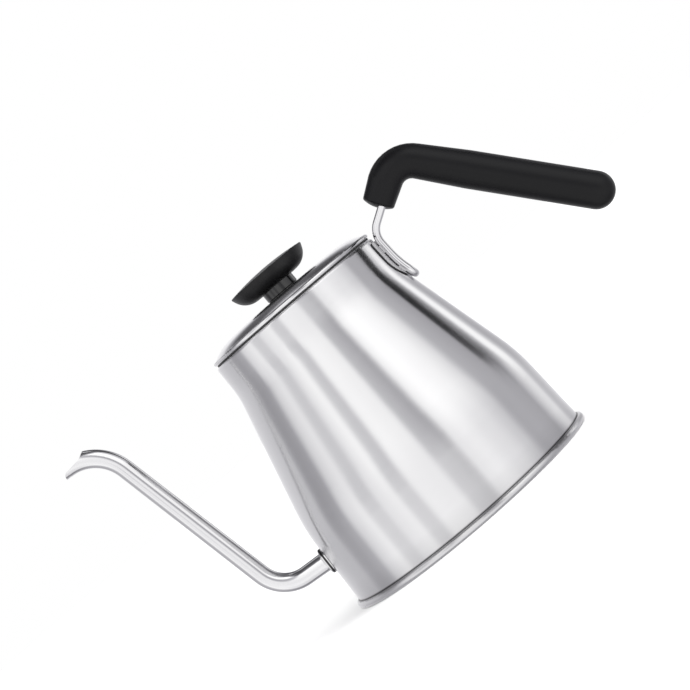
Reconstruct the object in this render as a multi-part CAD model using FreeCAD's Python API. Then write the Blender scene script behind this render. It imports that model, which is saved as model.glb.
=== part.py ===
import FreeCAD, Part
import math
import os

# Gooseneck pour-over kettle, millimetres, Z up.
# The origin is the centre of the flat base, on the surface that the kettle stands on.
# The handle is on the +X side and the spout on the -X side.
# A profile is a list of corners (radius, height, rounding) turned about Z.
# Other side views lie in the XZ plane, with corners (x, z, rounding).

V = FreeCAD.Vector
UP = V(0, 0, 1)
TINY = 1e-6
ROUND_SLACK = 1e-4          # a half-round edge stops this short of a full half circle

# ---------------------------------------------------------------- body and base
WALL = 0.7                  # sheet thickness of the body
FLOOR_TOP = 1.0             # top of the base plate, inside the kettle
BEAD_R = 1.85               # rolled seam round the base
BEAD_RING_R = 71.75         # radius of the middle of that seam
FOOT_R = 71.4               # body radius where the base seam grips it
SKIRT_TOP_Z = 5.0
WAIST = (69.67, 47.1)       # corner between the lower wall and the conical flank
WAIST_ROUND = 100.0
NECK = (51.05, 119.4)       # corner between the flank and the straight neck
NECK_ROUND = 45.0
RIM_R = 50.5                # neck radius at the mouth
RIM_Z = 137.4               # top of the body, where the gasket sits
RIM_ROUND = 1.8
MOUTH_R = 45.2              # clear radius of the mouth
LIP_ROUND = 1.2
LIP_Z = 133.0               # lower edge of the turned-in lip
GROOVE_RADII = (26.0, 52.0)  # pressed rings in the underside
GROOVE_WIDTH = 1.6
GROOVE_DEPTH = 0.35

# ---------------------------------------------------------------- spout
SPOUT_WALL = 0.6
SPOUT_ROOT = (-67.0, 28.25)      # inner end of the tube, inside the body
SPOUT_ELBOW = (-98.36, 30.8)     # corner of the lower bend
SPOUT_SHOULDER = (-122.21, 148.15)  # corner of the upper bend
SPOUT_TIP = (-148.6, 149.0)      # where the tube would end before it is cut
SPOUT_BENDS = (18.8, 24.0)
SPOUT_RADII = (5.2, 4.95, 4.95, 4.75, 4.6, 4.6)  # outer radius at the ends of each run
# Side view of the cut that opens the tip, from behind its top edge to below its lip.
TIP_CUT = [(-127.5, 151.3, 0), (-132.2, 148.3, 6.0), (-142.8, 147.3, 3.0), (-144.9, 142.4, 0)]
TIP_CUT_REACH = 20.0
COLLAR_R = 7.15
COLLAR_T = 2.0                   # how far the collar stands out from the wall
COLLAR_ROUND = 0.5
NECK_RING_R = 6.1                # weld fillet between collar and tube
NECK_RING_LENGTH = 1.0
NECK_RING_FADE = 0.2             # the weld neck runs out into the tube

# ---------------------------------------------------------------- handle
ROD_R = 2.0                 # bent wire
ROD_HALF_GAP = 4.3          # each leg of the wire lies this far from the XZ plane
ROD_SEAT = 0.2              # the wire's loop is pressed this far into the bracket
ROD_LOOP_Z = 109.2          # centre of the wire at the bottom of the loop
ROD_SHOULDER_ROUND = 10.5
ROD_BELOW_AXIS = 2.05       # the wire enters the grip below its axis
ROD_END_RUN = 34.0          # length of wire along the long run of the grip
GRIP_FRONT = (65.4, 147.9)
GRIP_CORNER = (84.91, 160.38)
GRIP_END = (151.0, 81.9)    # centre of the rounded end
GRIP_BEND = 13.8
GRIP_FRONT_R = 8.15
GRIP_BEND_R = 8.8
GRIP_END_R = 9.65
GRIP_TAPER_RUN = 26.0       # the grip reaches its full size this far past the bend
GRIP_NOSE = 3.0             # rise of the domed front end
GRIP_NOSE_EDGE = 1.1        # height of the dome's edge
GRIP_NOSE_TOP_R = 3.5       # the dome levels out at this radius
GRIP_NOSE_DEPTH = 1.6       # overlap of the dome and the bar behind it
GRIP_FRONT_ROUND = 1.6
GRIP_NOSE_ROUND = 14.0
SLEEVE_WALL = 1.0           # silicone over the core
SLEEVE_NOSE = 1.8           # silicone in front of the core
BRACKET_T = 0.6
BRACKET_HALF_WIDTH = 14.5
BRACKET_Z = (108.9, 134.4)
BRACKET_CORNER = 14.4       # the lower end is almost a half circle
BRACKET_TOP_CORNER = 1.5
WELD_R = 3.0                # weld beads that hold the wire to the bracket
WELD_RISE = 1.5
WELD_ROOT = 0.1             # the beads start this far inside the bracket's sheet
WELD_LENGTH = 4.2
WELD_HEIGHTS = (115.6, 129.0)

# ---------------------------------------------------------------- lid
GASKET_T = 0.7
GASKET_R = 49.2
LID_T = 0.7
LID_TOP_Z = 144.8
LID_FLAT_R = 12.0           # flat middle under the knob
LID_CROWN = (24.0, 144.8, 490.0)
LID_SHOULDER = (42.4, 143.92, 26.0)
LID_EDGE = (48.4, 140.4)
HEM_R = 1.05                # rolled edge of the lid
HEM_RING_R = 49.2
HEM_INNER_R = 46.4          # the hem is folded in flat to here
SKIRT_R = 44.8              # outer radius of the locating skirt
SKIRT_T = 0.6
SKIRT_Z = 129.2             # lower edge of the skirt
SKIRT_FLANGE_R = 47.9
VENT_R = 1.6
VENT_PLACE = (0.0, 33.0)    # steam vent, on the +Y side of the knob

# ---------------------------------------------------------------- knob
SEAL_T = 0.5
SEAL_R = 8.7
STEM_R = 9.25
STEM_EDGE = 0.4
BOWL_Z = 149.9              # underside of the knob
BOWL_CORNER = (19.35, 149.9, 10.0)
BOWL_RIM = (22.6, 158.3)
BOWL_WALL = 2.0
CAP_R = 22.35
CAP_EDGE = 0.35
CAP_RISE = 1.75
CAP_T = 1.6
CAP_SPIGOT_R = 19.0
CAP_SPIGOT_T = 1.2
CAP_SPIGOT_DEPTH = 2.6
BOSS_R = 5.6
BOSS_TOP_Z = 156.2
INSERT_R = 3.5
INSERT_TOP_Z = 155.6
SCREW_R = 2.0
SCREW_TOP_Z = 154.4
SCREW_HEAD_R = 3.9
SCREW_HEAD_T = 2.4
SCREW_HEAD_ROUND = 1.4
SLOT_LENGTH = 4.6           # cross slot in the head
SLOT_WIDTH = 1.0
SLOT_DEPTH = 1.1
WASHER_R = 6.0
WASHER_T = 0.9
HOLE_R = 2.3                # clearance holes for the screw
THREAD_GAP = 0.02


# ---------------------------------------------------------------- geometry helpers
def corner(point):
    """A profile corner as (radius, height, rounding)."""
    return tuple(point) if len(point) == 3 else (point[0], point[1], 0.0)


def line_meet(a, a_dir, b, b_dir):
    """Point where two lines in the XZ plane cross."""
    cross = a_dir.x * b_dir.z - a_dir.z * b_dir.x
    gap = b - a
    return a + a_dir * ((gap.x * b_dir.z - gap.z * b_dir.x) / cross)


def parallel(profile, distance):
    """The open profile moved sideways, to its left where distance is positive."""
    corners = [corner(p) for p in profile]
    points = [V(r, 0, z) for r, z, _ in corners]
    runs = [(b - a).normalize() for a, b in zip(points, points[1:])]
    sides = [V(-d.z, 0, d.x) * distance for d in runs]
    moved = [points[0] + sides[0]]
    for i in range(1, len(runs)):
        moved.append(line_meet(points[i] + sides[i - 1], runs[i - 1], points[i] + sides[i], runs[i]))
    moved.append(points[-1] + sides[-1])
    rounds = [0.0]
    for i in range(1, len(runs)):
        left_turn = runs[i - 1].x * runs[i].z - runs[i - 1].z * runs[i].x > 0
        change = -distance if left_turn else distance
        rounds.append(max(0.0, corners[i][2] + change) if corners[i][2] else 0.0)
    rounds.append(0.0)
    return [(p.x, p.z, round_r) for p, round_r in zip(moved, rounds)]


def rounded_edges(points, rounds, closed):
    """Straight runs joined by tangent arcs, through corners given in space."""
    count = len(points)
    starts, ends, mids = list(points), list(points), [None] * count
    for i in range(0 if closed else 1, count if closed else count - 1):
        if not rounds[i]:
            continue
        back = (points[i - 1] - points[i]).normalize()
        ahead = (points[(i + 1) % count] - points[i]).normalize()
        half = back.getAngle(ahead) / 2
        reach = rounds[i] / math.tan(half)
        starts[i] = points[i] + back * reach
        ends[i] = points[i] + ahead * reach
        middle = (back + ahead).normalize()
        mids[i] = points[i] + middle * (rounds[i] / math.sin(half) - rounds[i])
    edges = []
    for i in range(count):
        if mids[i] is not None:
            edges.append(Part.Arc(starts[i], mids[i], ends[i]).toShape())
        following = (i + 1) % count
        if (closed or i + 1 < count) and (starts[following] - ends[i]).Length > TINY:
            edges.append(Part.LineSegment(ends[i], starts[following]).toShape())
    return edges


def turned(profile):
    """Solid of revolution about Z from a closed profile."""
    corners = [corner(p) for p in profile]
    points = [V(r, 0, z) for r, z, _ in corners]
    edges = rounded_edges(points, [c[2] for c in corners], closed=True)
    face = Part.Face(Part.Wire(edges))
    return solid(face.revolve(V(0, 0, 0), UP, 360))


def turned_sheet(profile, thickness):
    """Turned sheet of even thickness to the left of an open profile."""
    return turned([corner(p) for p in profile] + parallel(profile, thickness)[::-1])


def solid(shape):
    """The shape as one clean solid."""
    shape = shape.removeSplitter()
    found = shape.Solids
    if len(found) != 1:
        raise ValueError("expected one solid, found %d" % len(found))
    one = found[0]
    if one.Volume < 0:
        one.reverse()
    return one


def edges_centred_on(shape, point):
    """The shape's round edges whose middle is at the point."""
    return [e for e in shape.Edges if e.Length > TINY and (e.CenterOfMass - point).Length < 0.01]


def disc(radius, z_low, z_high, x=0.0, y=0.0):
    return Part.makeCylinder(radius, z_high - z_low, V(x, y, z_low))


def ring(radius, hole, z_low, z_high):
    return disc(radius, z_low, z_high).cut(disc(hole, z_low, z_high))


def bent_bar(points, bends, radii):
    """Round bar along straight runs and tangent bends.

    points are the ends and corners of the path, bends the bend radius at each corner, and
    radii the bar's radius at the start and end of each run.
    """
    starts, ends = list(points), list(points)
    pieces = []
    for i, bend in enumerate(bends, start=1):
        back = (points[i - 1] - points[i]).normalize()
        ahead = (points[i + 1] - points[i]).normalize()
        half = back.getAngle(ahead) / 2
        starts[i] = points[i] + back * (bend / math.tan(half))
        ends[i] = points[i] + ahead * (bend / math.tan(half))
        centre = points[i] + (back + ahead).normalize() * (bend / math.sin(half))
        axis = ahead.cross(back).normalize()
        circle = Part.makeCircle(radii[2 * i - 1], starts[i], back)
        section = Part.Face(Part.Wire([circle]))
        turn = 180 - math.degrees(2 * half)
        pieces.append(section.revolve(centre, axis, turn))
    for i in range(len(points) - 1):
        run = starts[i + 1] - ends[i]
        if run.Length < 10 * TINY:
            continue
        low, high = radii[2 * i], radii[2 * i + 1]
        if abs(low - high) < TINY:
            pieces.append(Part.makeCylinder(low, run.Length, ends[i], run))
        else:
            pieces.append(Part.makeCone(low, high, run.Length, ends[i], run))
    return solid(pieces[0].multiFuse(pieces[1:]))


# ---------------------------------------------------------------- body and base
OUTSIDE = [(FOOT_R, FLOOR_TOP), (FOOT_R, SKIRT_TOP_Z), WAIST + (WAIST_ROUND,), NECK + (NECK_ROUND,),
           (RIM_R, RIM_Z, RIM_ROUND), (MOUTH_R, RIM_Z, LIP_ROUND), (MOUTH_R, LIP_Z)]


def body_volume():
    """The outside of the body, filled."""
    return turned([(0, FLOOR_TOP)] + OUTSIDE[:5] + [(0, RIM_Z)])


def make_body_shell():
    shell = turned_sheet(OUTSIDE, WALL)
    return solid(shell.cut(spout_bar(0.0)))


def make_base_plate():
    seam_top = 2 * BEAD_R
    plate = turned([(0, 0), (BEAD_RING_R + BEAD_R, 0, BEAD_R - ROUND_SLACK),
                    (BEAD_RING_R + BEAD_R, seam_top, BEAD_R - ROUND_SLACK), (FOOT_R, seam_top),
                    (FOOT_R, FLOOR_TOP), (0, FLOOR_TOP)])
    for radius in GROOVE_RADII:
        plate = plate.cut(ring(radius + GROOVE_WIDTH, radius, 0, GROOVE_DEPTH))
    return solid(plate)


# ---------------------------------------------------------------- spout
def spout_bar(inset):
    """The spout as a solid bar, its radius smaller by inset."""
    path = [V(x, 0, z) for x, z in (SPOUT_ROOT, SPOUT_ELBOW, SPOUT_SHOULDER, SPOUT_TIP)]
    return bent_bar(path, SPOUT_BENDS, [r - inset for r in SPOUT_RADII])


def above_tip_cut():
    """Block that holds everything above the cut in the spout's tip."""
    line = rounded_edges([V(x, 0, z) for x, z, _ in TIP_CUT], [c[2] for c in TIP_CUT], closed=False)
    first, last = (V(x, 0, z) for x, z, _ in (TIP_CUT[0], TIP_CUT[-1]))
    far = V(last.x - TIP_CUT_REACH, 0, first.z + TIP_CUT_REACH)
    back = Part.makePolygon([last, V(far.x, 0, last.z), far, V(first.x, 0, far.z), first])
    block = Part.Face(Part.Wire(line + back.Edges)).extrude(V(0, 2 * TIP_CUT_REACH, 0))
    block.translate(V(0, -TIP_CUT_REACH, 0))
    return block


def make_spout_tube():
    tube = spout_bar(0.0).cut(spout_bar(SPOUT_WALL))
    inside = turned([(0, FLOOR_TOP)] + parallel(OUTSIDE[:4], WALL) + [(0, NECK[1])])
    return solid(tube.cut(above_tip_cut()).cut(inside))


def make_spout_collar():
    """Flange square to the wall, with a short weld neck along the tube."""
    root, elbow = (V(x, 0, z) for x, z in (SPOUT_ROOT, SPOUT_ELBOW))
    along = (elbow - root).normalize()
    wall_up = V(FOOT_R - WAIST[0], 0, WAIST[1] - SKIRT_TOP_Z).normalize()
    outward = V(-wall_up.z, 0, wall_up.x)
    wall_foot = V(-FOOT_R, 0, SKIRT_TOP_Z)
    centre = line_meet(root, along, wall_foot, wall_up)
    collar = Part.makeCylinder(COLLAR_R, 2 * COLLAR_T, centre - outward * COLLAR_T, outward)
    collar = collar.makeFillet(COLLAR_ROUND, edges_centred_on(collar, centre + outward * COLLAR_T))
    fillet = Part.makeCone(NECK_RING_R, SPOUT_RADII[0] - NECK_RING_FADE, COLLAR_T + NECK_RING_LENGTH,
                           centre, along)
    return solid(collar.fuse(fillet).cut(body_volume()).cut(spout_bar(0.0)))


# ---------------------------------------------------------------- handle
def rod_path():
    """Corners of the bent wire, from one end in the grip round the loop to the other."""
    off = BRACKET_T + ROD_R - ROD_SEAT
    waist, neck, rim = (V(r, 0, z) for r, z, _ in parallel([WAIST, NECK, (RIM_R, RIM_Z)], -off))
    loop = waist + (neck - waist) * ((ROD_LOOP_Z - waist.z) / (neck.z - waist.z))
    front, bend, end = grip_axis()
    toward_bend, toward_end = (bend - front).normalize(), (end - bend).normalize()
    front_low = front + V(toward_bend.z, 0, -toward_bend.x) * ROD_BELOW_AXIS
    end_low = bend + V(toward_end.z, 0, -toward_end.x) * ROD_BELOW_AXIS
    inner_bend = line_meet(front_low, toward_bend, end_low, toward_end)
    shoulder = line_meet(front_low, toward_bend, neck, rim - neck)
    leg = [inner_bend + toward_end * ROD_END_RUN, inner_bend, shoulder, neck, loop]
    side = V(0, ROD_HALF_GAP, 0)
    return [p - side for p in leg] + [p + side for p in reversed(leg)]


def rod_solid(radius):
    path = rod_path()
    bends = [GRIP_BEND - ROD_BELOW_AXIS, ROD_SHOULDER_ROUND, NECK_ROUND + BRACKET_T + ROD_R,
             ROD_HALF_GAP]
    bends = bends + bends[::-1]
    return bent_bar(path, bends, [radius] * (2 * len(path) - 2))


def grip_axis():
    """Front end, corner and rear end of the grip's axis."""
    return [V(x, 0, z) for x, z in (GRIP_FRONT, GRIP_CORNER, GRIP_END)]


def grip_bar(inset, front_inset):
    """The grip as a bar with a rounded rear end, smaller all round by inset."""
    front, bend, end = grip_axis()
    toward_bend, toward_end = (bend - front).normalize(), (end - bend).normalize()
    half = math.acos(-toward_bend.dot(toward_end)) / 2
    full_size = bend + toward_end * (GRIP_BEND / math.tan(half) + GRIP_TAPER_RUN)
    start = front + toward_bend * front_inset
    radii = [GRIP_FRONT_R, GRIP_BEND_R, GRIP_BEND_R, GRIP_END_R]
    bar = bent_bar([start, bend, full_size], [GRIP_BEND], [r - inset for r in radii])
    rear = Part.makeCylinder(GRIP_END_R - inset, (end - full_size).Length, full_size, end - full_size)
    return solid(bar.fuse(rear).fuse(Part.makeSphere(GRIP_END_R - inset, end)))


def grip_nose():
    """Shallow dome with an eased edge on the front end of the grip."""
    front, bend, _ = grip_axis()
    nose = turned([(0, -GRIP_NOSE_DEPTH), (GRIP_FRONT_R, -GRIP_NOSE_DEPTH),
                   (GRIP_FRONT_R, GRIP_NOSE_EDGE, GRIP_FRONT_ROUND),
                   (GRIP_NOSE_TOP_R, GRIP_NOSE, GRIP_NOSE_ROUND), (0, GRIP_NOSE)])
    nose.Placement = FreeCAD.Placement(front, FreeCAD.Rotation(UP, front - bend))
    return nose


def make_handle_grip():
    outer = solid(grip_bar(0.0, 0.0).fuse(grip_nose()))
    return solid(outer.cut(grip_bar(SLEEVE_WALL, SLEEVE_NOSE)).cut(rod_solid(ROD_R)))


def make_handle_core():
    return solid(grip_bar(SLEEVE_WALL, SLEEVE_NOSE).cut(rod_solid(ROD_R)))


def make_handle_rod():
    return rod_solid(ROD_R)


def bracket_layer(inner, outer):
    """Ring-shaped layer over the body between two distances from its outside."""
    line = OUTSIDE[1:5]
    inside, outside = parallel(line, -inner), parallel(line, -outer)
    return turned([corner(p) for p in inside] + outside[::-1])


def bracket_outline():
    """Block whose YZ outline is the bracket: square top corners eased, lower corners round."""
    low, high = BRACKET_Z
    w = BRACKET_HALF_WIDTH
    points = [V(0, -w, low), V(0, w, low), V(0, w, high), V(0, -w, high)]
    rounds = [BRACKET_CORNER, BRACKET_CORNER, BRACKET_TOP_CORNER, BRACKET_TOP_CORNER]
    face = Part.Face(Part.Wire(rounded_edges(points, rounds, closed=True)))
    return face.extrude(V(FOOT_R, 0, 0))


def make_handle_bracket():
    plate = bracket_layer(0.0, BRACKET_T).common(bracket_outline())
    weld_layer = bracket_layer(BRACKET_T - WELD_ROOT, BRACKET_T + WELD_RISE)
    _, _, shoulder, neck, loop = rod_path()[:5]
    for height in WELD_HEIGHTS:
        low, high = (loop, neck) if height < neck.z else (neck, shoulder)
        along = (high - low).normalize()
        middle = low + along * ((height - low.z) / along.z)
        for side in (-1, 1):
            start = V(middle.x, side * ROD_HALF_GAP, middle.z) - along * (WELD_LENGTH / 2)
            bead = Part.makeCylinder(WELD_R, WELD_LENGTH, start, along)
            plate = plate.fuse(bead.common(weld_layer))
    return solid(plate.cut(rod_solid(ROD_R)))


# ---------------------------------------------------------------- lid
HEM_Z = RIM_Z + GASKET_T            # underside of the lid's hem
DOME = [(LID_FLAT_R, LID_TOP_Z), LID_CROWN, LID_SHOULDER, LID_EDGE]


def make_lid_shell():
    hem_mid = HEM_Z + HEM_R
    under = parallel(DOME, -LID_T)
    profile = [(HOLE_R, LID_TOP_Z - LID_T), (HOLE_R, LID_TOP_Z)] + DOME
    profile += [(HEM_RING_R + HEM_R, hem_mid + HEM_R, HEM_R - ROUND_SLACK),
                (HEM_RING_R + HEM_R, HEM_Z, HEM_R - ROUND_SLACK)]
    profile += [(HEM_INNER_R, HEM_Z), (HEM_INNER_R, HEM_Z + LID_T), (under[-1][0], HEM_Z + LID_T)]
    profile += under[::-1]
    shell = turned(profile)
    x, y = VENT_PLACE
    return solid(shell.cut(disc(VENT_R, HEM_Z, LID_TOP_Z, x, y)))


def make_lid_skirt():
    top = HEM_Z + LID_T + SKIRT_T
    flange_low = top - SKIRT_T
    return turned([(SKIRT_R, SKIRT_Z), (SKIRT_R, flange_low), (SKIRT_FLANGE_R, flange_low),
                   (SKIRT_FLANGE_R, top), (SKIRT_R - SKIRT_T, top, SKIRT_T),
                   (SKIRT_R - SKIRT_T, SKIRT_Z)])


def make_lid_gasket():
    return ring(GASKET_R, SKIRT_R, RIM_Z, HEM_Z)


# ---------------------------------------------------------------- knob
def make_knob_seal():
    return ring(SEAL_R, HOLE_R, LID_TOP_Z, LID_TOP_Z + SEAL_T)


def make_knob_stem():
    low = LID_TOP_Z + SEAL_T
    return turned([(HOLE_R, low), (STEM_R, low, STEM_EDGE), (STEM_R, BOWL_Z), (HOLE_R, BOWL_Z)])


def make_knob_bowl():
    outside = [(HOLE_R, BOWL_Z), BOWL_CORNER, BOWL_RIM]
    bowl = turned_sheet(outside, BOWL_WALL).common(disc(BOWL_RIM[0], BOWL_Z, BOWL_RIM[1]))
    boss = ring(BOSS_R, HOLE_R, BOWL_Z, BOSS_TOP_Z)
    return solid(bowl.fuse(boss).cut(disc(INSERT_R, BOWL_Z, BOSS_TOP_Z)))


def make_knob_top():
    rim_z = BOWL_RIM[1]
    edge_z = rim_z + CAP_EDGE
    crown_z = edge_z + CAP_RISE
    ball_r = (CAP_R ** 2 + CAP_RISE ** 2) / (2 * CAP_RISE)
    ball = Part.makeSphere(ball_r, V(0, 0, crown_z - ball_r))
    hollow = Part.makeSphere(ball_r - CAP_T, V(0, 0, crown_z - ball_r))
    cap = disc(CAP_R, rim_z, crown_z).common(ball)
    cap = cap.cut(hollow.common(disc(CAP_SPIGOT_R - CAP_SPIGOT_T, rim_z, crown_z)))
    spigot = ring(CAP_SPIGOT_R, CAP_SPIGOT_R - CAP_SPIGOT_T, rim_z - CAP_SPIGOT_DEPTH, rim_z)
    return solid(cap.fuse(spigot))


def make_knob_insert():
    return ring(INSERT_R, SCREW_R + THREAD_GAP, BOWL_Z, INSERT_TOP_Z)


def make_knob_washer():
    top = LID_TOP_Z - LID_T
    return ring(WASHER_R, HOLE_R, top - WASHER_T, top)


def make_knob_screw():
    head_top = LID_TOP_Z - LID_T - WASHER_T
    head_low = head_top - SCREW_HEAD_T
    head = turned([(0, head_low), (SCREW_HEAD_R, head_low, SCREW_HEAD_ROUND),
                   (SCREW_HEAD_R, head_top), (0, head_top)])
    shank = disc(SCREW_R, head_top, SCREW_TOP_Z)
    screw = head.fuse(shank)
    for size_x, size_y in ((SLOT_LENGTH, SLOT_WIDTH), (SLOT_WIDTH, SLOT_LENGTH)):
        start = V(-size_x / 2, -size_y / 2, head_low)
        screw = screw.cut(Part.makeBox(size_x, size_y, SLOT_DEPTH, start))
    return solid(screw)


PARTS = {
    "body_shell": make_body_shell,
    "base_plate": make_base_plate,
    "spout_tube": make_spout_tube,
    "spout_collar": make_spout_collar,
    "handle_bracket": make_handle_bracket,
    "handle_rod": make_handle_rod,
    "handle_core": make_handle_core,
    "handle_grip": make_handle_grip,
    "lid_shell": make_lid_shell,
    "lid_skirt": make_lid_skirt,
    "lid_gasket": make_lid_gasket,
    "knob_seal": make_knob_seal,
    "knob_stem": make_knob_stem,
    "knob_bowl": make_knob_bowl,
    "knob_top": make_knob_top,
    "knob_insert": make_knob_insert,
    "knob_screw": make_knob_screw,
    "knob_washer": make_knob_washer,
}

os.makedirs("parts", exist_ok=True)
for name, make in PARTS.items():
    shape = make()
    shape.exportStep("parts/%s.step" % name)
    print("%-15s valid %s  volume %9.1f mm3" % (name, shape.isValid(), shape.Volume))
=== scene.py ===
import math

import bmesh
import bpy
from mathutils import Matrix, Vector


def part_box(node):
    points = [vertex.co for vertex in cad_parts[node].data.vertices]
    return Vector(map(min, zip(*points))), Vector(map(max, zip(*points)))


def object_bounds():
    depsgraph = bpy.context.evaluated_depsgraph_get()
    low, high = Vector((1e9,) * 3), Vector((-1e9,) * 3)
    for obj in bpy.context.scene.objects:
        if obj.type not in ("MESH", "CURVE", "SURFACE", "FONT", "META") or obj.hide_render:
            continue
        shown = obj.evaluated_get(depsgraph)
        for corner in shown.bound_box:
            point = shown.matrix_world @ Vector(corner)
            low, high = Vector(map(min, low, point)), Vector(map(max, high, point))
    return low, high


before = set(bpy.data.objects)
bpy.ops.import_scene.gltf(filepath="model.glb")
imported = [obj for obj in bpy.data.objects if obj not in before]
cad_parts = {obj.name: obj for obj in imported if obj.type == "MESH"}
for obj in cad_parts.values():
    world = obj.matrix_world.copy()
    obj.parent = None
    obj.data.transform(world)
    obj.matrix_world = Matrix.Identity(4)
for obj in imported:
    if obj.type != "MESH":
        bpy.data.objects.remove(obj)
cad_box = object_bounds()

# Looks, light and camera for the gooseneck kettle. Metres, in the CAD's frame.

# ---------------------------------------------------------------- camera
LENS_MM = 119.0
SENSOR_MM = 36.0
VIEW_DISTANCE = 1.14
VIEW_AZIMUTH = 3.0          # degrees from the front towards the handle
VIEW_PITCH = 0.81           # degrees down
VIEW_ROLL = 40.7            # degrees; the kettle is shown pouring
VIEW_CENTRE = (0.0060, 0.0003, 0.1048)

# ---------------------------------------------------------------- light
KEY_TOWARDS = (0.60, -0.42, 0.72)
KEY_DISTANCE = 1.3
KEY_SIZE = 0.6
KEY_POWER = 7.0
BACKDROP_LIGHT = 1.0
ROOM_LIGHT = 1.35           # even light of the white room on the floor and on matte surfaces
SHADE_CAST = (1.0, 0.990, 1.045, 1.0)   # the studio's dark parts are a little cool
LIGHT_CAST = (1.0, 0.999, 0.995, 1.0)
CAST_LEVELS = (0.1, 0.32)   # brightness / PEAK ** 2 where the cast is all shade and all light
PEAK = 2.0                  # no brightness or share below is over this
# Soft light round the kettle: (azimuth in degrees, brightness). Azimuth 0 is the camera's side
# and 90 the handle's, and the brightness runs smoothly from one row to the next.
STUDIO = [(-180, 1.05), (-150, 0.80), (-114, 0.72), (-105, 0.40), (-88, 0.40), (-82, 0.87), (-67, 0.98),
          (-63, 0.66), (-53, 0.68), (-49, 1.02), (-36, 1.18), (-32, 0.68), (-23, 0.66), (-18, 1.18),
          (4, 1.10), (10, 0.60), (18, 0.52), (24, 0.40), (27, 0.5), (31, 1.12), (42, 1.32), (60, 1.24),
          (77, 1.10), (86, 0.58), (112, 0.50), (126, 1.3), (136, 1.38), (142, 0.72), (148, 0.50),
          (160, 0.52), (180, 1.05)]
# The same below the horizon, where white paper lies in front of the kettle.
PAPER = [(-180, 0.95), (-125, 0.6), (-90, 0.55), (-66, 1.1), (66, 1.1), (90, 0.55), (125, 0.6),
         (180, 0.95)]
PAPER_RISE = (0.04, -0.14)  # sine of the elevation where the paper starts and is whole
# How much more or less light comes from close to the horizon: (azimuth in degrees, share).
LOW_SHARE = [(-180, 1.0), (-100, 1.0), (-86, 1.22), (-70, 1.14), (-58, 1.0), (20, 1.0), (42, 0.90),
             (60, 0.80), (74, 0.76), (86, 0.90), (100, 1.0), (180, 1.0)]
LOW_RISE = (0.10, 0.32)     # sine of the elevation where that starts to end and has ended
# How the light changes with height, in front and behind: (sine of the elevation, share).
FRONT_RISE = [(-1.0, 0.85), (-0.6, 1.1), (0.0, 1.0), (0.5, 1.15), (0.8, 1.3), (0.89, 0.2),
              (1.0, 0.12)]
REAR_RISE = [(-1.0, 0.4), (-0.6, 0.85), (0.0, 1.0), (0.34, 1.0), (0.46, 0.5), (0.58, 0.15),
             (0.8, 0.12), (0.86, 0.9), (0.89, 0.9), (0.93, 0.12), (1.0, 0.12)]
REAR = (0.1, 0.5)           # how far the ray points to the rear where REAR_RISE starts and is whole

# A black card beyond the handle, above the horizon: (azimuth in degrees, share of the light taken).
CARD = [(112, 0.0), (115, 1.0), (126, 1.0), (130, 0.0)]
CARD_DEPTH = 0.97
CARD_RISE = (0.03, 0.22)    # sine of the elevation where the card starts and is whole

# ---------------------------------------------------------------- stage
FLOOR_RADIUS = 4.0
FLOOR_DROP = 0.0002         # below the base, so that the two faces don't share a plane
FLOOR_SIDES = 96
FLOOR_CLOUDS = 6.0          # per metre
FLOOR_LEVELS = (0.90, 0.93)
FLOOR_ROUGHNESS = (0.85, 0.95)


# ---------------------------------------------------------------- node helpers
class Graph:
    """A node tree with short calls for adding linked nodes."""

    def __init__(self, tree):
        self.tree = tree
        tree.nodes.clear()

    def node(self, kind, inputs=None, **settings):
        made = self.tree.nodes.new(kind)
        for key, value in settings.items():
            setattr(made, key, value)
        for key, value in (inputs or {}).items():
            self.feed(made.inputs[key], value)
        return made

    def feed(self, socket, value):
        if isinstance(value, bpy.types.NodeSocket):
            self.tree.links.new(value, socket)
        else:
            socket.default_value = value

    def math(self, operation, *values):
        made = self.node("ShaderNodeMath", operation=operation)
        for socket, value in zip(made.inputs, values):
            self.feed(socket, value)
        return made.outputs[0]

    def vector(self, operation, inputs, output=0):
        return self.node("ShaderNodeVectorMath", inputs, operation=operation).outputs[output]

    def place(self):
        """The point's place in the object's own coordinates, which are the CAD's."""
        return self.node("ShaderNodeTexCoord").outputs["Object"]

    def parts(self, vector):
        return self.node("ShaderNodeSeparateXYZ", {"Vector": vector}).outputs

    def ramp(self, factor, stops):
        """Brightness that runs smoothly through (place, brightness) stops."""
        made = self.node("ShaderNodeValToRGB", {"Fac": factor})
        ramp = made.color_ramp
        ramp.interpolation = "EASE"
        while len(ramp.elements) < len(stops):
            ramp.elements.new(0.5)
        for element, (place, level) in zip(ramp.elements, stops):
            element.position = place
            element.color = grey(level)
        return made.outputs["Color"]

    def noise(self, vector, scale, detail, roughness):
        made = self.node("ShaderNodeTexNoise", {"Vector": vector, "Scale": scale, "Detail": detail,
                                                "Roughness": roughness})
        return made.outputs["Fac"]

    def spread(self, factor, low, high):
        """The factor 0 to 1 mapped to low to high."""
        made = self.node("ShaderNodeMapRange", {"Value": factor, "To Min": low, "To Max": high})
        return made.outputs["Result"]

    def between(self, value, start, whole):
        """0 up to start and 1 from whole on."""
        made = self.node("ShaderNodeMapRange", {"Value": value, "From Min": start, "From Max": whole})
        return made.outputs["Result"]

    def tint(self, factor, dark, light):
        """A mix of two colours: the node's colour sockets are inputs 6 and 7 and output 2."""
        made = self.node("ShaderNodeMix", data_type="RGBA")
        self.feed(made.inputs["Factor"], factor)
        self.feed(made.inputs[6], dark)
        self.feed(made.inputs[7], light)
        return made.outputs[2]

    def bump(self, height, distance):
        made = self.node("ShaderNodeBump", {"Height": height, "Distance": distance, "Strength": 1.0})
        return made.outputs["Normal"]


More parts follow.
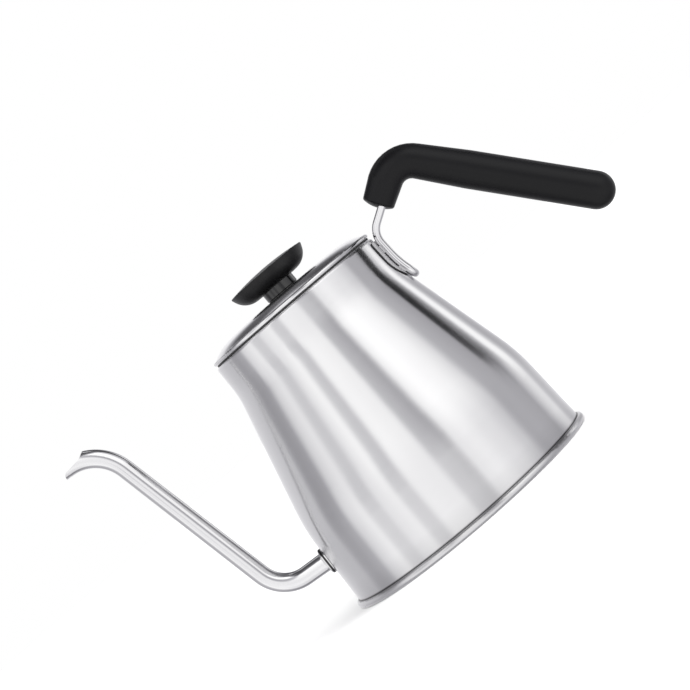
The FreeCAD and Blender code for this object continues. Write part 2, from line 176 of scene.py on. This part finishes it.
def material(name, build, **values):
    made = bpy.data.materials.new(name)
    made.use_nodes = True
    graph = Graph(made.node_tree)
    shader = graph.node("ShaderNodeBsdfPrincipled")
    out = graph.node("ShaderNodeOutputMaterial")
    graph.tree.links.new(shader.outputs[0], out.inputs["Surface"])
    for key, value in values.items():
        shader.inputs[key.replace("_", " ")].default_value = value
    build(graph, shader)
    return made


def grey(level, cast=(1.0, 1.0, 1.0)):
    return tuple(level * share for share in cast) + (1.0,)


# ---------------------------------------------------------------- materials
STEEL = (1.0, 0.996, 1.008)
BRASS = (1.0, 0.72, 0.35)
BRUSH_TURN = 0.25           # a quarter turn: the brushing runs round the axis
SWING = 0.03                # how far a metal's brightness and roughness stray either way
BRUSH_SWING = 0.035
SLIGHT_SWING = 0.02

# Brushed steel. Noise scales are per metre, or along and across the brushing.
FINE_STREAKS = (10.0, 2600.0)
BROAD_STREAKS = (3.0, 240.0)
FINE_SHARE = 0.6
BROAD_SHARE = 0.4
STREAK_SPAN = (0.1, 0.9)
SHEET_CLOUDS = 38.0
WAVINESS = 0.00003          # metres; slow ripple of the turned sheets

# Polished metal and moulded parts.
POLISH_GRAIN = 2200.0
POLISH_CLOUDS = 90.0
MOULD_CLOUDS = 55.0
MOULD_SHADES = (0.82, 1.22)
MOULD_SWING = 0.04

# Painted shade: darker metal, with added roughness, in the base seam's crease, round the collar and on
# the bracket's cut edges.
PAINTED_SHADE_LEVEL = 0.05           # its brightness
SEAM_ROUGHER = 0.25         # added to its roughness
SEAM_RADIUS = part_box("body_shell")[1][0]
SEAM_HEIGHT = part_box("base_plate")[1][2]
# Each reach is where a line starts and where it is whole, in metres from its middle.
# painted shade in the base seam's crease: a dark line and a fainter spread round it
SEAM_REACH = (0.0009, 0.0003)
SEAM_SHARE = 0.72
SEAM_SHADE_SPREAD_REACH = (0.011, 0.001)
SEAM_SHADE_SPREAD_SHARE = 0.12
WALL_TAPER = 0.0411         # the lower wall narrows by this much with height
# painted shade round the collar, along the body's wall
COLLAR_LINE = SEAM_RADIUS + 0.0012
COLLAR_REACH = (0.0007, 0.0004)
# painted shade on the bracket's edges
EDGE_FACING = (0.6, 0.3)    # how far a face points outward where an edge starts and is whole
WELD_SIDE = (0.0072, 0.0085)  # the weld beads end this far from the middle, and the bracket goes on


def around(graph):
    """Height, distance from the Z axis and direction away from that axis."""
    split = graph.parts(graph.place())
    flat = graph.node("ShaderNodeCombineXYZ", {"X": split[0], "Y": split[1]}).outputs[0]
    return split[2], graph.vector("LENGTH", {0: flat}, "Value"), graph.vector("NORMALIZE", {0: flat})


def turned_streaks(graph, along, across):
    """Texture position that is long round the Z axis and fine along the profile."""
    height, radius, outward = around(graph)
    turned = graph.vector("SCALE", {0: outward, "Scale": along})
    level = graph.math("MULTIPLY", graph.math("SUBTRACT", height, radius), across)
    rise = graph.node("ShaderNodeCombineXYZ", {"Z": level}).outputs[0]
    return graph.vector("ADD", {0: turned, 1: rise})


def base_seam_shade(graph):
    """Painted shade: a dark line in the crease where the wall meets the rolled seam of the base, with a
    fainter painted shade spread round it.
    """
    height, radius, _ = around(graph)
    across = graph.math("SUBTRACT", radius, SEAM_RADIUS)
    rise = graph.math("SUBTRACT", height, SEAM_HEIGHT)
    offset = graph.node("ShaderNodeCombineXYZ", {"X": across, "Y": rise}).outputs[0]
    gap = graph.vector("LENGTH", {0: offset}, "Value")
    line = graph.math("MULTIPLY", graph.between(gap, *SEAM_REACH), SEAM_SHARE)
    return graph.math("MULTIPLY_ADD", graph.between(gap, *SEAM_SHADE_SPREAD_REACH), SEAM_SHADE_SPREAD_SHARE, line)


def collar_gap_shade(graph):
    """Painted shade: 1 in a line round the collar, close to the body's wall."""
    height, radius, _ = around(graph)
    upright = graph.math("MULTIPLY_ADD", height, WALL_TAPER, radius)
    gap = graph.math("SUBTRACT", upright, COLLAR_LINE)
    return graph.between(graph.math("ABSOLUTE", gap), *COLLAR_REACH)


def bracket_edge_shade(graph):
    """Painted shade: 1 on the edges of the bracket's sheet."""
    _, _, outward = around(graph)
    normal = graph.node("ShaderNodeNewGeometry").outputs["Normal"]
    facing = graph.vector("DOT_PRODUCT", {0: outward, 1: normal}, "Value")
    side = graph.math("ABSOLUTE", graph.parts(graph.place())[1])
    sharp = graph.between(graph.math("ABSOLUTE", facing), *EDGE_FACING)
    return graph.math("MULTIPLY", sharp, graph.between(side, *WELD_SIDE))


def finish_metal(graph, shader, colour, rough, shade_paint_at):
    """Colour and roughness, with painted shade, darker and rougher metal, where the given mask says."""
    if shade_paint_at:
        shade_mask = shade_paint_at(graph)
        # painted shade: the mask darkens the colour and adds roughness
        colour = graph.tint(shade_mask, colour, grey(PAINTED_SHADE_LEVEL, STEEL))
        rough = graph.math("MULTIPLY_ADD", shade_mask, SEAM_ROUGHER, rough)
    graph.feed(shader.inputs["Base Color"], colour)
    graph.feed(shader.inputs["Roughness"], rough)


def brushed_round(roughness, grain, level=0.74, shade_paint_at=None):
    """Steel brushed round the Z axis."""
    def build(graph, shader):
        fine = graph.noise(turned_streaks(graph, *FINE_STREAKS), 1.0, 3.0, 0.6)
        broad = graph.noise(turned_streaks(graph, *BROAD_STREAKS), 1.0, 2.0, 0.5)
        cloud = graph.noise(graph.place(), SHEET_CLOUDS, 3.0, 0.55)
        mixed = graph.math("ADD", graph.math("MULTIPLY", fine, FINE_SHARE),
                           graph.math("MULTIPLY", broad, BROAD_SHARE))
        colour = graph.tint(graph.spread(mixed, *STREAK_SPAN), grey(level - SWING, STEEL),
                            grey(level + SWING, STEEL))
        rough = graph.math("ADD", graph.spread(mixed, roughness - BRUSH_SWING, roughness + BRUSH_SWING),
                           graph.spread(cloud, -SLIGHT_SWING, SLIGHT_SWING))
        finish_metal(graph, shader, colour, rough, shade_paint_at)
        tangent = graph.node("ShaderNodeTangent", direction_type="RADIAL", axis="Z")
        graph.feed(shader.inputs["Tangent"], tangent.outputs[0])
        brushed = graph.math("MULTIPLY", fine, grain)
        height = graph.math("MULTIPLY_ADD", cloud, WAVINESS, brushed)
        graph.feed(shader.inputs["Normal"], graph.bump(height, 1.0))
    return build


def polished(roughness, grain, level=0.74, cast=STEEL, shade_paint_at=None):
    """Metal with a fine polish and no single direction."""
    def build(graph, shader):
        place = graph.place()
        fine = graph.noise(place, POLISH_GRAIN, 3.0, 0.6)
        cloud = graph.noise(place, POLISH_CLOUDS, 3.0, 0.55)
        colour = graph.tint(cloud, grey(level - SWING, cast), grey(level + SWING, cast))
        rough = graph.math("ADD", graph.spread(cloud, roughness - SWING, roughness + SWING),
                           graph.spread(fine, -SLIGHT_SWING, SLIGHT_SWING))
        finish_metal(graph, shader, colour, rough, shade_paint_at)
        graph.feed(shader.inputs["Normal"], graph.bump(fine, grain))
    return build


def moulded(colour, roughness, grain, grain_scale):
    """Moulded plastic or silicone with a fine matte grain."""
    def build(graph, shader):
        place = graph.place()
        fine = graph.noise(place, grain_scale, 3.0, 0.6)
        cloud = graph.noise(place, MOULD_CLOUDS, 3.0, 0.5)
        dark, light = (tuple(shade * c for c in colour) + (1.0,) for shade in MOULD_SHADES)
        graph.feed(shader.inputs["Base Color"], graph.tint(cloud, dark, light))
        rough = graph.math("ADD", graph.spread(cloud, roughness - MOULD_SWING, roughness + MOULD_SWING),
                           graph.spread(fine, -MOULD_SWING, MOULD_SWING))
        graph.feed(shader.inputs["Roughness"], rough)
        graph.feed(shader.inputs["Normal"], graph.bump(fine, grain))
    return build


def steel_round(name, roughness, grain, level=0.74, anisotropic=1.0, shade_paint_at=None):
    return material(name, brushed_round(roughness, grain, level, shade_paint_at), Metallic=1.0,
                    Anisotropic=anisotropic, Anisotropic_Rotation=BRUSH_TURN)


def steel_plain(name, roughness, grain, level=0.74, shade_paint_at=None):
    return material(name, polished(roughness, grain, level, shade_paint_at=shade_paint_at), Metallic=1.0)


# For steel: name, roughness, height of the grain in metres, brightness, on round steel anisotropy,
# and the mask that says where shade is painted on it as darker, rougher metal.
# For moulded parts: colour, roughness, height of the grain in metres and grains per metre.
LOOKS = {
    # painted shade in the crease of the base seam, on the body and on the base
    "body_shell": steel_round("body_steel", 0.22, 0.000003, shade_paint_at=base_seam_shade),
    "base_plate": steel_round("base_steel", 0.26, 0.000004, 0.72, 0.8, base_seam_shade),
    "lid_shell": steel_round("lid_steel", 0.14, 0.000003, 0.74, 0.6),
    "lid_skirt": steel_round("skirt_steel", 0.28, 0.000004, 0.70),
    "spout_tube": steel_plain("spout_steel", 0.14, 0.000003),
    # painted shade round the collar where it meets the wall
    "spout_collar": steel_plain("collar_steel", 0.12, 0.000003, 0.70, collar_gap_shade),
    # painted shade on the bracket's edges
    "handle_bracket": steel_plain("bracket_steel", 0.20, 0.000004, 0.70, bracket_edge_shade),
    "handle_rod": steel_plain("rod_steel", 0.09, 0.000003),
    "knob_screw": steel_plain("screw_steel", 0.22, 0.000003, 0.66),
    "knob_washer": steel_plain("washer_steel", 0.22, 0.000003, 0.66),
    "handle_grip": material("grip_silicone", moulded((0.0042, 0.0042, 0.0050), 0.36, 0.00001, 2400.0),
                            Specular_IOR_Level=0.2),
    "handle_core": material("grip_core", moulded((0.05, 0.05, 0.05), 0.6, 0.00002, 1800.0)),
    "lid_gasket": material("gasket_rubber", moulded((0.02, 0.02, 0.02), 0.62, 0.00002, 2000.0)),
    "knob_seal": material("seal_rubber", moulded((0.02, 0.02, 0.02), 0.62, 0.00002, 2000.0)),
    "knob_stem": material("stem_plastic", moulded((0.004, 0.004, 0.0045), 0.14, 0.000003, 2000.0),
                          Specular_IOR_Level=0.75),
    "knob_bowl": material("bowl_plastic", moulded((0.005, 0.005, 0.0055), 0.42, 0.000012, 2200.0),
                          Specular_IOR_Level=0.4),
    "knob_top": material("cap_plastic", moulded((0.005, 0.005, 0.0055), 0.42, 0.000012, 2200.0),
                         Specular_IOR_Level=0.4),
    "knob_insert": material("insert_brass", polished(0.28, 0.000003, 0.72, BRASS), Metallic=1.0),
}
for node, look in LOOKS.items():
    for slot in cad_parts[node].material_slots:
        slot.material = look


# ---------------------------------------------------------------- floor
def make_floor():
    mesh = bpy.data.meshes.new("floor")
    shape = bmesh.new()
    bmesh.ops.create_circle(shape, cap_ends=True, segments=FLOOR_SIDES, radius=FLOOR_RADIUS)
    bmesh.ops.translate(shape, verts=shape.verts, vec=(0, 0, cad_box[0][2] - FLOOR_DROP))
    shape.to_mesh(mesh)
    shape.free()
    floor = bpy.data.objects.new("floor", mesh)
    bpy.context.scene.collection.objects.link(floor)

    def build(graph, shader):
        cloud = graph.noise(graph.place(), FLOOR_CLOUDS, 3.0, 0.5)
        dark, light = (grey(level) for level in FLOOR_LEVELS)
        graph.feed(shader.inputs["Base Color"], graph.tint(cloud, dark, light))
        graph.feed(shader.inputs["Roughness"], graph.spread(cloud, *FLOOR_ROUGHNESS))

    mesh.materials.append(material("floor_paper", build))
    floor.visible_glossy = False


# ---------------------------------------------------------------- light
def studio_level(graph, ray):
    """Brightness of the studio in a direction."""
    split = graph.parts(ray)
    turn = graph.math("ARCTAN2", split[0], graph.math("MULTIPLY", split[1], -1.0))
    place = graph.math("MULTIPLY_ADD", turn, 0.5 / math.pi, 0.5)
    height = graph.math("MULTIPLY_ADD", split[2], 0.5, 0.5)

    def round_kettle(rows):
        return graph.ramp(place, [(0.5 + azimuth / 360, level / PEAK) for azimuth, level in rows])

    def rising(rows):
        return graph.ramp(height, [(0.5 + sine / 2, level / PEAK) for sine, level in rows])

    flat = graph.vector("MULTIPLY", {0: ray, 1: (1.0, 1.0, 0.0)})
    rearward = graph.parts(graph.vector("NORMALIZE", {0: flat}))[1]
    above = graph.tint(graph.between(split[2], *PAPER_RISE), round_kettle(STUDIO), round_kettle(PAPER))
    rise = graph.tint(graph.between(rearward, *REAR), rising(FRONT_RISE), rising(REAR_RISE))
    card = graph.math("MULTIPLY", round_kettle(CARD), graph.between(split[2], *CARD_RISE))
    left = graph.math("MULTIPLY_ADD", card, -CARD_DEPTH * PEAK, 1.0)
    low = graph.tint(graph.between(split[2], *LOW_RISE), round_kettle(LOW_SHARE), grey(1 / PEAK))
    shaded = graph.math("MULTIPLY", graph.math("MULTIPLY", low, left), PEAK)
    return graph.math("MULTIPLY", graph.math("MULTIPLY", above, rise), shaded)


def make_world():
    """Plain white to the camera, an even room to matte surfaces and the studio to glossy ones."""
    world = bpy.data.worlds.new("studio")
    bpy.context.scene.world = world
    world.use_nodes = True
    graph = Graph(world.node_tree)
    level = studio_level(graph, graph.node("ShaderNodeTexCoord").outputs["Generated"])
    cast = graph.tint(graph.between(level, *CAST_LEVELS), SHADE_CAST, LIGHT_CAST)
    colour = graph.vector("MULTIPLY", {0: cast, 1: level})
    path = graph.node("ShaderNodeLightPath").outputs

    def light(colour, strength):
        return graph.node("ShaderNodeBackground", {"Color": colour, "Strength": strength}).outputs[0]

    def choose(ray_kind, others, these):
        return graph.node("ShaderNodeMixShader", {0: path[ray_kind], 1: others, 2: these}).outputs[0]

    # the studio's level has been divided by PEAK twice
    lit = choose("Is Diffuse Ray", light(colour, PEAK * PEAK), light(grey(1.0), ROOM_LIGHT))
    seen = choose("Is Camera Ray", lit, light(grey(1.0), BACKDROP_LIGHT))
    graph.node("ShaderNodeOutputWorld", {"Surface": seen})


def make_key_light():
    data = bpy.data.lights.new("key", "AREA")
    data.shape = "SQUARE"
    data.size = KEY_SIZE
    data.energy = KEY_POWER
    light = bpy.data.objects.new("key", data)
    away = Vector(KEY_TOWARDS).normalized()
    light.location = Vector(VIEW_CENTRE) + away * KEY_DISTANCE
    light.rotation_euler = away.to_track_quat("Z", "Y").to_euler()
    light.visible_camera = False
    light.visible_glossy = False
    bpy.context.scene.collection.objects.link(light)


# ---------------------------------------------------------------- camera
def make_camera():
    data = bpy.data.cameras.new("camera")
    data.lens = LENS_MM
    data.sensor_width = SENSOR_MM
    camera = bpy.data.objects.new("camera", data)
    azimuth, pitch, roll = (math.radians(a) for a in (VIEW_AZIMUTH, VIEW_PITCH, VIEW_ROLL))
    away = Vector((math.sin(azimuth) * math.cos(pitch), -math.cos(azimuth) * math.cos(pitch),
                   math.sin(pitch)))
    camera.location = Vector(VIEW_CENTRE) + away * VIEW_DISTANCE
    camera.rotation_euler = away.to_track_quat("Z", "Y").to_euler()
    camera.rotation_euler.rotate_axis("Z", -roll)
    bpy.context.scene.collection.objects.link(camera)
    bpy.context.scene.camera = camera


make_floor()
make_world()
make_key_light()
make_camera()
bpy.context.scene.view_settings.view_transform = "Standard"
